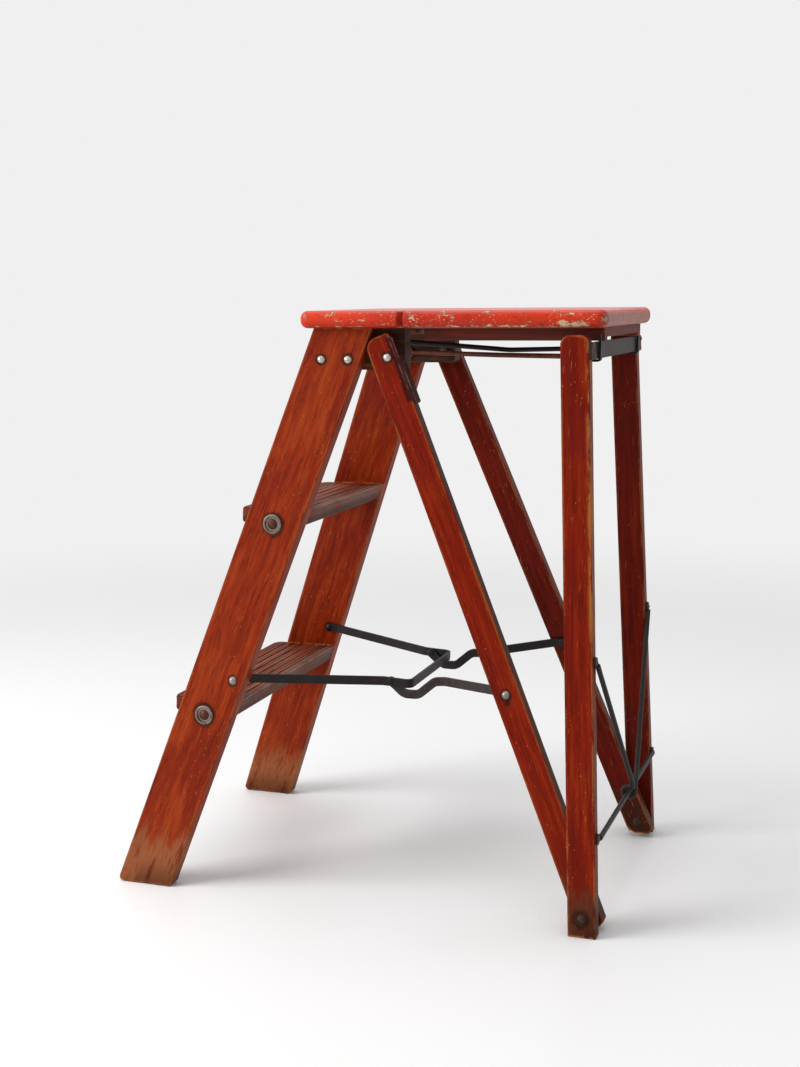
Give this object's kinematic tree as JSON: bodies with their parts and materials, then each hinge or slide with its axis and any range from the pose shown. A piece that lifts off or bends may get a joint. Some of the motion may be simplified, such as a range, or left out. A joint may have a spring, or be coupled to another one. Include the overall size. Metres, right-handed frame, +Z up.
{
  "type": "folding step stool",
  "caption": "Folding wooden step stool with two treads, a hinged two-board platform, diagonal props, rear legs, folding iron spreader, stay rods and rod braces.",
  "frame": {"origin": "on the floor, under the middle of the open stool's bounding box", "axes": "+Z up, -Y the side that is climbed (the treads), +X the left side seen from behind"},
  "size_m": [0.3716, 0.5747, 0.66],
  "materials": {
    "red_paint": "glossy worn paint",
    "varnished_wood": "worn varnish",
    "dark_wood": "dark stain",
    "tread_wood": "worn bare wood",
    "wear_paint": "worn paint",
    "black_iron": "blackened",
    "brown_iron": "rusted",
    "bright_steel": "worn plating"
  },
  "bodies": {
    "ladder": {"stile_left": "varnished_wood", "stile_right": "varnished_wood", "tread_lower": "tread_wood", "tread_upper": "tread_wood", "tie_rod_lower": "black_iron", "tie_rod_upper": "black_iron", "tie_rod_washers": "bright_steel", "head_cleat_left": "dark_wood", "head_cleat_right": "dark_wood", "front_board": "red_paint", "front_board_dowels": "dark_wood", "head_bolts": "bright_steel", "stay_rivets": "bright_steel", "head_nuts": "bright_steel", "prop_pivot_bolts": "bright_steel", "prop_pivot_washers": "bright_steel", "prop_pivot_nuts": "bright_steel", "spreader_front_rivets": "bright_steel", "hinge_leaves_front": "black_iron", "hinge_pins": "black_iron", "hinge_screws_front": "bright_steel"},
    "props": {"prop_leg_left": "varnished_wood", "prop_leg_right": "varnished_wood", "prop_wear_block": "wear_paint", "foot_rivets": "bright_steel", "foot_spacers": "bright_steel", "spreader_rear_rivets": "bright_steel"},
    "rear_frame": {"rear_leg_left": "varnished_wood", "rear_leg_right": "varnished_wood", "cross_bar": "black_iron", "cross_bar_screws": "bright_steel", "brace_rod": "black_iron", "brace_v_rod": "black_iron", "brace_screws": "bright_steel"},
    "rear_platform": {"rear_board": "red_paint", "side_batten_left": "dark_wood", "side_batten_right": "dark_wood", "rear_batten": "dark_wood", "batten_screws": "bright_steel", "hinge_leaves_rear": "black_iron", "hinge_screws_rear": "bright_steel"},
    "stay_pair": {"stay_rod_left": "black_iron", "stay_rod_right": "brown_iron"},
    "spreader_front": {"spreader_strap": "black_iron", "spreader_knee_rivets": "bright_steel"},
    "spreader_rear": {"spreader_arm_left": "black_iron", "spreader_arm_right": "black_iron", "spreader_end_rivets": "bright_steel"}
  },
  "joints": [
    {"name": "prop_fold", "type": "hinge", "parent": "ladder", "child": "props", "pos_m": [0, 0.03045, 0.6093], "axis": [-1, 0, 0], "range_deg": [0, 37.5]},
    {"name": "rear_leg_fold", "type": "hinge", "parent": "props", "child": "rear_frame", "pos_m": [0, 0.2636, 0.02], "axis": [1, 0, 0], "range_deg": [0, 16.9]},
    {"name": "board_drop", "type": "hinge", "parent": "ladder", "child": "rear_platform", "pos_m": [0, 0.04875, 0.6377], "axis": [-1, 0, 0], "range_deg": [0, 40.4]},
    {"name": "stay_drop", "type": "hinge", "parent": "ladder", "child": "stay_pair", "pos_m": [0, -0.01545, 0.6068], "axis": [-1, 0, 0], "range_deg": [0, 71.9]},
    {"name": "spreader_lift", "type": "hinge", "parent": "ladder", "child": "spreader_front", "pos_m": [0, -0.14588, 0.2445], "axis": [1, 0, 0], "range_deg": [0, 70.4]},
    {"name": "spreader_bend", "type": "hinge", "parent": "spreader_front", "child": "spreader_rear", "pos_m": [0, 0.015, 0.236], "axis": [-1, 0, 0], "range_deg": [0, 162.8]}
  ],
  "couplings": [
    {"joint": "rear_leg_fold", "follows": "prop_fold", "ratio": 0.45066},
    {"joint": "board_drop", "follows": "prop_fold", "ratio": 1.0773},
    {"joint": "stay_drop", "follows": "prop_fold", "ratio": 1.9173},
    {"joint": "spreader_lift", "follows": "prop_fold", "ratio": 1.8773},
    {"joint": "spreader_bend", "follows": "prop_fold", "ratio": 4.3413}
  ]
}
